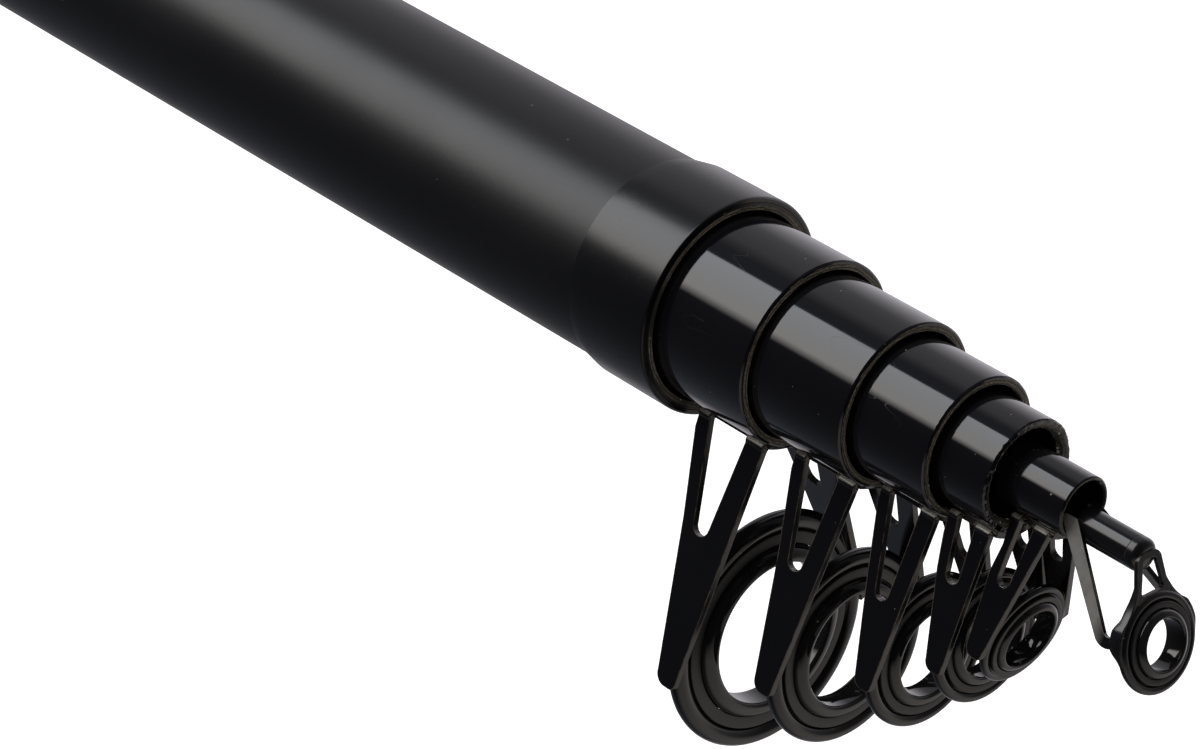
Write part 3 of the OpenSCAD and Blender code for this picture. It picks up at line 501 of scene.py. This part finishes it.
def turned_tube(name, stands_for, body, slot, made, outline, ragged=0.0):
    """A tube turned round the rod from points of radius and place along it, its mouth torn by so much."""
    bm = spun([(place, 0.0, radius) for radius, place in outline], ALONG_X, TUBE_STEPS)
    end, lip_r = max((place, radius) for radius, place in outline)
    for vert in bm.verts:
        if vert.co.x > end - TORN_EDGE:
            vert.co.x -= draw.random() * ragged
        if ragged > TORN_LEAST and vert.co.x > end - TORN_DEPTH and vert.co.yz.length < lip_r - LIP_KEPT:
            vert.co.yz *= 1 + (draw.random() - 0.5) * ragged * TORN_SPREAD
    creased(bm, TUBE_CREASE)
    new_piece(name, bm, made, body, slot, stands_for)


# Tubes: the butt, then the sections, each inside the one before, then the collar

BUTT_MOUTH_R, BUTT_WALL = BUTT_MOUTH[:2]
BUTT_END, BUTT_MID_R, BUTT_R = 648.8, 12.6, 12.882
HEAD_X, STRAIGHT_X, MID_X, REAR_X, TAPER_CLEAR = 8.8, 228.0, 350.0, 25.2, 0.08
# Sections: place of the mouth, wall, gap in the tube outside, locking taper, how torn and flared it is
SECTIONS = {
    "section_2": (661.3, 1.1, 0.25, 70, 0.03, 0),
    "section_3": (673.9, 1.05, 0.2, 62, 0.04, 0),
    "section_4": (683.8, 1.0, 0.35, 56, 0.05, 0),
    "section_5": (690.4, 1.35, 0.55, 50, 0.16, 0.75),
    "section_6": (697.7, 0.5, 1.3, 45, 0.02, 0),
}
# A flared mouth narrows to its bore through these shares of the flare: outwards, and back from the end
FLARE_STEPS = ((0.6, 0.35), (0.2, 1), (0, 2))
COLLAR_IN, COLLAR_OUT, COLLAR_START, COLLAR_SLOPE = 11.425, 11.995, 637.3, 2.0
COLLAR_REAR_IN, COLLAR_REAR_OUT, COLLAR_LIP, LIP_SHOULDER = 11.472, 11.622, 0.22, 0.3

slope = (BUTT_MID_R - BUTT_MOUTH_R) / (BUTT_END - MID_X)
bore_r = BUTT_MOUTH_R - BUTT_WALL
turned_tube("butt_tube", "butt_blank", "butt", "butt_black", BUTT_BLACK, [
    (BUTT_R - BUTT_WALL, HEAD_X), (BUTT_R, HEAD_X), (BUTT_R, STRAIGHT_X), (BUTT_MID_R, MID_X),
    (BUTT_MOUTH_R, BUTT_END), (bore_r + MOUTH_BEVEL, BUTT_END), (bore_r, BUTT_END - MOUTH_BEVEL),
    (BUTT_MID_R - BUTT_WALL, MID_X), (BUTT_R - BUTT_WALL, STRAIGHT_X)])

for tube, (end, wall, gap, lock, ragged, flare) in SECTIONS.items():
    lock_r, mouth_r = bore_r - TAPER_CLEAR, bore_r - gap
    rear_r = lock_r + lock * slope
    slope = (lock_r - mouth_r) / (end - REAR_X - lock)
    bore_r = mouth_r - wall
    inside = [(bore_r + MOUTH_BEVEL + flare, end)]
    if flare:
        inside += [(bore_r + flare * outwards, end - flare * back) for outwards, back in FLARE_STEPS]
    else:
        inside += [(bore_r, end - MOUTH_BEVEL)]
    turned_tube(tube + "_tube", tube + "_blank", tube, "section_black", MOUTH_BLACK[tube], [
        (rear_r - wall, REAR_X), (rear_r, REAR_X), (lock_r, REAR_X + lock), (mouth_r, end - MOUTH_BEVEL),
        (mouth_r - MOUTH_BEVEL, end), *inside, (lock_r - wall, REAR_X + lock)], ragged)

shoulder = COLLAR_LIP * LIP_SHOULDER
turned_tube("mouth_collar_ring", "mouth_collar", "butt", "butt_black", COLLAR_BLACK, [
    (COLLAR_REAR_IN, COLLAR_START), (COLLAR_REAR_OUT, COLLAR_START),
    (COLLAR_OUT, COLLAR_START + COLLAR_SLOPE), (COLLAR_OUT, BUTT_END - COLLAR_LIP),
    (COLLAR_OUT - shoulder, BUTT_END - shoulder), (COLLAR_OUT - COLLAR_LIP, BUTT_END),
    (COLLAR_IN, BUTT_END)])


# Inserts and shock rings of the guides

GUIDE_SHEET, TIP_SHEET, GLUE, LIP = 0.7, 0.5, 0.05, 0.35
# Rings: outside, bore, place along the rod, drop below its axis, lean in degrees, and the frame's sheet
RINGS = {
    "guide_2": dict(outside=26.6, bore=15.8, x=656.5, drop=35.0, lean=4, sheet=GUIDE_SHEET),
    "guide_3": dict(outside=21.4, bore=12.4, x=667.95, drop=31.1, lean=4, sheet=GUIDE_SHEET),
    "guide_4": dict(outside=16.6, bore=9.2, x=679.1, drop=25.7, lean=4, sheet=GUIDE_SHEET),
    "guide_5": dict(outside=14.2, bore=8.0, x=686.7, drop=20.0, lean=4, sheet=GUIDE_SHEET),
    "guide_6": dict(outside=11.2, bore=6.5, x=691.6, drop=17.15, lean=-10, sheet=GUIDE_SHEET),
    "tip": dict(outside=10.1, bore=5.1, x=708.0, drop=9.6, lean=15, sheet=TIP_SHEET),
}
BODY_OF = {ring: ring.replace("guide", "section") for ring in RINGS}
# Shares of the band between a ring's bore and its outside
SEAT_SHARE, CLIP_SHARE, LIP_SHARE, PROUD_SHARE, INSERT_ROUND_SHARE = 0.34, 0.5, 0.6, 0.22, 0.13
TIP_PROUD, INSERT_STRAIGHT, SHOCK_ROUND = 0.15, 0.72, 0.12
RING_STEPS, RING_TURN = 96, 0.4


def ring_place(ring):
    """The move that takes a ring turned round Z to its place under the rod, with its lean."""
    row = RINGS[ring]
    lean = Matrix.Rotation(math.radians(90 - row["lean"]), 4, "Y")
    return Matrix.Translation((row["x"], 0.0, -row["drop"])) @ lean


def turned_ring(ring, section, offset):
    """A ring turned round the line's path from corners of radius and distance ahead, its edges rounded."""
    bm = spun([(radius, 0.0, ahead) for radius, ahead in section], ALONG_Z, RING_STEPS)
    rounded(bm, offset, RING_TURN)
    bmesh.ops.transform(bm, matrix=ring_place(ring), verts=bm.verts[:])
    return bm


for ring, row in RINGS.items():
    hole_r = row["bore"] / 2
    band = (row["outside"] - row["bore"]) / 2
    seat_r, lip_r = hole_r + band * SEAT_SHARE, hole_r + band * LIP_SHARE
    clip_r = hole_r + band * CLIP_SHARE - GLUE
    lip_back = row["sheet"] / 2 + GLUE
    lip_front = lip_back + LIP
    deep = lip_front + band * PROUD_SHARE + (TIP_PROUD if ring == "tip" else 0.0)
    straight = deep * INSERT_STRAIGHT
    insert = [(hole_r, -deep), (seat_r - GLUE, -straight), (seat_r - GLUE, straight), (hole_r, deep)]
    new_piece(ring + "_polished_insert", turned_ring(ring, insert, band * INSERT_ROUND_SHARE), INSERT_BLACK,
              BODY_OF[ring], "insert_ceramic", ring + "_insert")
    clip = [(seat_r, -lip_front), (lip_r, -lip_front), (lip_r, -lip_back), (clip_r, -lip_back),
            (clip_r, lip_back), (lip_r, lip_back), (lip_r, lip_front), (seat_r, lip_front)]
    new_piece(ring + "_soft_shock_ring", turned_ring(ring, clip, SHOCK_ROUND), SHOCK_BLACK,
              BODY_OF[ring], "shock_black", ring + "_shock_ring")


# Leg bends, where the guides' legs turn out of their saddles

# Legs: saddle's middle radius and half angle, rear edge of the rear leg, front edge of the front leg
LEGS = {
    "guide_2": (10.55, 23.0, 649.9, 659.4),
    "guide_3": (9.25, 23.0, 663.4, 671.8),
    "guide_4": (7.85, 23.0, 674.9, 682.3),
    "guide_5": (6.3, 32.2, 684.2, 689.6),
    "guide_6": (3.65, 32.2, 690.8, 695.5),
}
REAR_LEG_W, FRONT_LEG_W, PLATE_OVER, PLATE_BELOW_SHARE = 1.6, 2.5, 0.35, 0.12
BEND_R, BEND_DOWN, BEND_SEGMENTS, BEND_ROUND, BEND_TURN = 0.6, 0.4, 28, 0.16, 1.0

for guide, (saddle_r, half_angle, rear_x, front_x) in LEGS.items():
    outside = RINGS[guide]["outside"]
    size = (1 + outside / RINGS["guide_2"]["outside"]) / 2
    turn = math.radians(half_angle)
    top = Vector((saddle_r * math.sin(turn), -saddle_r * math.cos(turn)))
    foot = Vector((outside / 2 + PLATE_OVER, -RINGS[guide]["drop"] - outside / 2 * PLATE_BELOW_SHARE))
    spot = top + (foot - top).normalized() * BEND_DOWN * size
    rear_w, front_w, bend_r = REAR_LEG_W * size, FRONT_LEG_W * size, BEND_R * size
    bm = bmesh.new()
    for side in (-1, 1):
        for start, width in ((rear_x, rear_w), (front_x - front_w, front_w)):
            middle = Matrix.Translation((start + width / 2, side * spot.x, spot.y))
            bmesh.ops.create_cone(bm, cap_ends=True, segments=BEND_SEGMENTS, radius1=bend_r, radius2=bend_r,
                                  depth=width, matrix=middle @ Matrix.Rotation(math.pi / 2, 4, "Y"))
    rounded(bm, BEND_ROUND, BEND_TURN)
    # The bends' finish paints a pale highlight on their upward-facing tops
    new_piece(guide + "_leg_bends", bm, BEND_HIGHLIGHTED, BODY_OF[guide], "guide_black")


# Webs of the tip frame, from the front legs' sides down round the ring to the braces' feet

# Angles in degrees down from the ring's top
WEB_TOP, WEB_JOIN, WEB_LOW, FLANGE_FULL = 13.0, 46.0, 97.0, 40
FOOT_RANGE, FOOT_FADE, SWELL_RANGE, SWELL_FADE = (44, 63), 74, (46, 60), 78
WEB_INSET, WEB_PROUD, TIP_RING_R = 0.52, 0.03, RINGS["tip"]["outside"] / 2
WEB_IN, WEB_OUT = TIP_RING_R - WEB_INSET, TIP_RING_R + WEB_PROUD
WEB_THIN, FLANGE_DEEP, FOOT_DEEP, FOOT_OUT = 0.26, 0.46, 0.42, 0.24
WEB_RISE, RISE_POWER, WEB_STEPS, WEB_ROUND, WEB_TURN = 1.95, 2.4, 56, 0.08, 0.8

bm = bmesh.new()
for side in (-1, 1):
    corners = [bm.verts.new((-radius, 0.0, ahead)) for radius, ahead in
               ((WEB_IN, -WEB_THIN), (WEB_OUT, -WEB_THIN), (WEB_OUT, WEB_THIN), (WEB_IN, WEB_THIN))]
    start = Matrix.Rotation(math.radians(side * WEB_TOP), 3, "Z")
    bmesh.ops.rotate(bm, cent=ORIGIN, matrix=start, verts=corners)
    web_end = bm.faces.new(corners)
    bmesh.ops.spin(bm, geom=[web_end] + list(web_end.edges) + corners, cent=ORIGIN, axis=ALONG_Z,
                   angle=math.radians(side * (WEB_LOW - WEB_TOP)), steps=WEB_STEPS)
for vert in bm.verts:
    turn = math.degrees(abs(math.atan2(vert.co.y, -vert.co.x)))
    reach = vert.co.xy.length
    rise = WEB_RISE * max(0.0, (WEB_JOIN - turn) / (WEB_JOIN - WEB_TOP)) ** RISE_POWER
    swell = 0.0
    if reach > (WEB_IN + WEB_OUT) / 2:
        swell = FOOT_OUT * eased(turn, *SWELL_RANGE) * (1 - eased(turn, SWELL_FADE, WEB_LOW))
    vert.co.xy *= (reach + swell + rise) / reach
    if vert.co.z < 0.0:
        deeper = FLANGE_DEEP * eased(turn, WEB_TOP, FLANGE_FULL) + FOOT_DEEP * eased(turn, *FOOT_RANGE)
        vert.co.z -= deeper * (1 - eased(turn, FOOT_FADE, WEB_LOW))
bmesh.ops.recalc_face_normals(bm, faces=bm.faces[:])
rounded(bm, WEB_ROUND, WEB_TURN)
bmesh.ops.transform(bm, matrix=ring_place("tip"), verts=bm.verts[:])
new_piece("tip_frame_webs", bm, TIP_BLACK, "tip", "tip_black")


# Threaded barrel of the reel seat, with a flat along its underside for the reel's foot

BARREL_R, BARREL_X, BARREL_END, BARREL_BORE, BARREL_BORE_END = 14.732, 235.0, 343.0, 12.916, 12.666
BARREL_STEPS, BARREL_CREASE = 120, 0.9
BED_Z, BED_X, BED_END, BED_STEP = 13.832, 264.2, 332.0, 0.1
THREAD_X, THREAD_END, THREAD_DEEP, THREAD_FADE = 236.0, 301.0, 0.45, 2.0
PITCH, CUTS_PER_TURN, CREST = 2.5, 10, (0.12, 0.38)

barrel = [(BARREL_X, BARREL_BORE), (BARREL_X, BARREL_R), (THREAD_X, BARREL_R), (THREAD_END, BARREL_R),
          (BED_END, BARREL_R), (BED_END + BED_STEP, BARREL_R), (BARREL_END, BARREL_R),
          (BARREL_END, BARREL_BORE_END)]
thread_side = barrel.index((THREAD_X, BARREL_R))
thread_cuts = round((THREAD_END - THREAD_X) / PITCH * CUTS_PER_TURN)
bm = spun([(place, 0.0, radius) for place, radius in barrel], ALONG_X, BARREL_STEPS, thread_side, thread_cuts)
for vert in bm.verts:
    spot = vert.co
    if spot.yz.length < BARREL_R - GLUE:
        continue
    turns = spot.x / PITCH + math.atan2(spot.y, spot.z) / (2 * math.pi)
    groove = 1 - eased(abs(turns % 1 - 0.5), *CREST)
    starting = eased(spot.x, THREAD_X, THREAD_X + THREAD_FADE)
    ending = eased(spot.x, THREAD_END, THREAD_END - THREAD_FADE)
    spot.yz *= 1 - THREAD_DEEP * groove * (starting * ending) / BARREL_R
    if BED_X < spot.x < BED_END + BED_STEP / 2:
        spot.z = max(spot.z, -BED_Z)
creased(bm, BARREL_CREASE)
new_piece("seat_threaded_barrel", bm, SEAT_BLACK, "butt", "seat_black", "reel_seat_barrel")


# Light, floor and camera

LAMP_FADE_LOW, LAMP_FADE_HIGH, LAMP_TINT = (0.0, 0.22), (1.0, 0.97), (0.15, 0.8)
LAMP_WARM, LAMP_COOL = (1.03, 0.985, 0.93, 1), (0.975, 1.0, 1.04, 1)


def softbox(name, centre, along, across, length, width, watts):
    """A rectangular lamp whose long side runs one way and whose light fades towards its long edges."""
    lamp = bpy.data.lights.new(name, "AREA")
    lamp.shape = "RECTANGLE"
    lamp.size, lamp.size_y, lamp.energy = length, width, watts
    stand = bpy.data.objects.new(name, lamp)
    bpy.context.scene.collection.objects.link(stand)
    x, y = Vector(along).normalized(), Vector(across).normalized()
    turned = Matrix((x, y, x.cross(y))).transposed().to_4x4()
    stand.matrix_world = Matrix.Translation(centre) @ turned
    stand.visible_camera = False
    lamp.use_nodes = True
    cloth = lamp.node_tree
    cloth.nodes.clear()
    height = parts_of(cloth, node(cloth, "NewGeometry").outputs["Parametric"])["Y"]
    fade = product(cloth, ramp(cloth, height, *LAMP_FADE_LOW), ramp(cloth, height, *LAMP_FADE_HIGH))
    tone = mixed(cloth, ramp(cloth, height, *LAMP_TINT), LAMP_WARM, LAMP_COOL)
    lit = node(cloth, "Emission", Color=tone, Strength=fade)
    cloth.links.new(lit.outputs[0], node(cloth, "OutputLight").inputs["Surface"])


softbox("long_softbox", centre=(0.05, -0.409, 0.563), along=ALONG_X, across=(0, 0.882, 0.470),
        length=1.0, width=0.72, watts=9.0)

# What the gloss mirrors, by its way: from and to on an axis, and the tone or share at each end
ROOM, BACKDROP, BACKDROP_LIT = (-0.85, 0.0, 0.02, 0.17), (0.12, 0.34, 0.0, 0.30), (0.66, 0.86, 0.0, 0.62)
SWEEP_AHEAD, SWEEP_BELOW, DIM_AHEAD = (0.0, 0.5), (-0.1, -0.42, 0.0, 0.56), (-0.2, 0.35, 1.0, 0.25)
ROOM_COOL, BACKDROP_PLAIN, SWEEP_WARM = (0.88, 0.93, 1.10, 1), (1.0, 0.965, 1.03, 1), (1.02, 0.955, 0.90, 1)
TINT_RANGE, AMBIENT = (0.0, 0.3), (0.30, 0.295, 0.29, 1)

world = bpy.data.worlds.new("studio")
bpy.context.scene.world = world
world.use_nodes = True
sky = world.node_tree
sky.nodes.clear()
way = parts_of(sky, node(sky, "TexCoord").outputs["Generated"])
backdrop = total(sky, ramp(sky, way["Y"], *BACKDROP), ramp(sky, way["Y"], *BACKDROP_LIT))
behind = product(sky, total(sky, ramp(sky, way["Y"], *ROOM), backdrop), ramp(sky, way["X"], *DIM_AHEAD))
sweep = product(sky, ramp(sky, way["X"], *SWEEP_AHEAD), ramp(sky, way["Z"], *SWEEP_BELOW))
plain = mixed(sky, ramp(sky, way["Y"], *TINT_RANGE), ROOM_COOL, BACKDROP_PLAIN)
tint = mixed(sky, ramp(sky, sweep, *TINT_RANGE), plain, SWEEP_WARM)
mirrored = vector_node(sky, "SCALE", tint, Scale=total(sky, behind, sweep))[0]
path = node(sky, "LightPath").outputs
ambient = mixed(sky, path["Is Glossy Ray"], AMBIENT, mirrored)
glow = node(sky, "Background", Color=mixed(sky, path["Is Camera Ray"], ambient, WHITE), Strength=1.0)
sky.links.new(glow.outputs[0], node(sky, "OutputWorld").inputs["Surface"])

FLOOR_PLACE, FLOOR_STRETCH = (0.2, 0.98, -0.35), (1.8, 1.0, 1.0, 1.0)
PAPER_SCALE, PAPER_GREY, PAPER_PALE, PAPER_SHOWS = 900.0, (0.86, 0.86, 0.86, 1), (0.9, 0.9, 0.9, 1), 0.8

paper = bpy.data.materials.new("paper_floor")
paper.use_nodes = True
tree = paper.node_tree
tree.nodes.clear()
path = node(tree, "LightPath").outputs
seen = math_node(tree, "MAXIMUM", path["Is Camera Ray"], path["Is Transmission Ray"])
pulp = noise(tree, surface_place(tree), detail=2.0, scale=PAPER_SCALE)
matt = node(tree, "BsdfDiffuse", Color=mixed(tree, pulp, PAPER_GREY, PAPER_PALE))
lit = node(tree, "Emission", Color=WHITE, Strength=product(tree, seen, PAPER_SHOWS))
both = node(tree, "AddShader", in0=matt.outputs[0], in1=lit.outputs[0])
tree.links.new(both.outputs[0], node(tree, "OutputMaterial").inputs["Surface"])

sheet = bpy.data.meshes.new("paper_floor")
bm = bmesh.new()
bmesh.ops.create_grid(bm, x_segments=1, y_segments=1, size=1.0,
                      matrix=Matrix.Translation(FLOOR_PLACE) @ Matrix.Diagonal(FLOOR_STRETCH))
bm.to_mesh(sheet)
bm.free()
sheet.materials.append(paper)
floor = bpy.data.objects.new("paper_floor", sheet)
bpy.context.scene.collection.objects.link(floor)
floor.visible_glossy = False

EYE_PLACE, EYE_LOOK, EYE_RIGHT = (0.90316, -0.24565, 0.19776), (-0.643, 0.577, -0.504), (0.656, 0.755, 0.027)

eye = bpy.data.cameras.new("camera")
eye.lens, eye.sensor_width = 120.0, 36.0
eye.clip_start, eye.clip_end = 0.01, 30.0
camera = bpy.data.objects.new("camera", eye)
bpy.context.scene.collection.objects.link(camera)
look = Vector(EYE_LOOK).normalized()
up = Vector(EYE_RIGHT).cross(look).normalized()
turned = Matrix((look.cross(up), up, -look)).transposed().to_4x4()
camera.matrix_world = Matrix.Translation(EYE_PLACE) @ turned
bpy.context.scene.camera = camera
bpy.context.scene.view_settings.view_transform = "Standard"
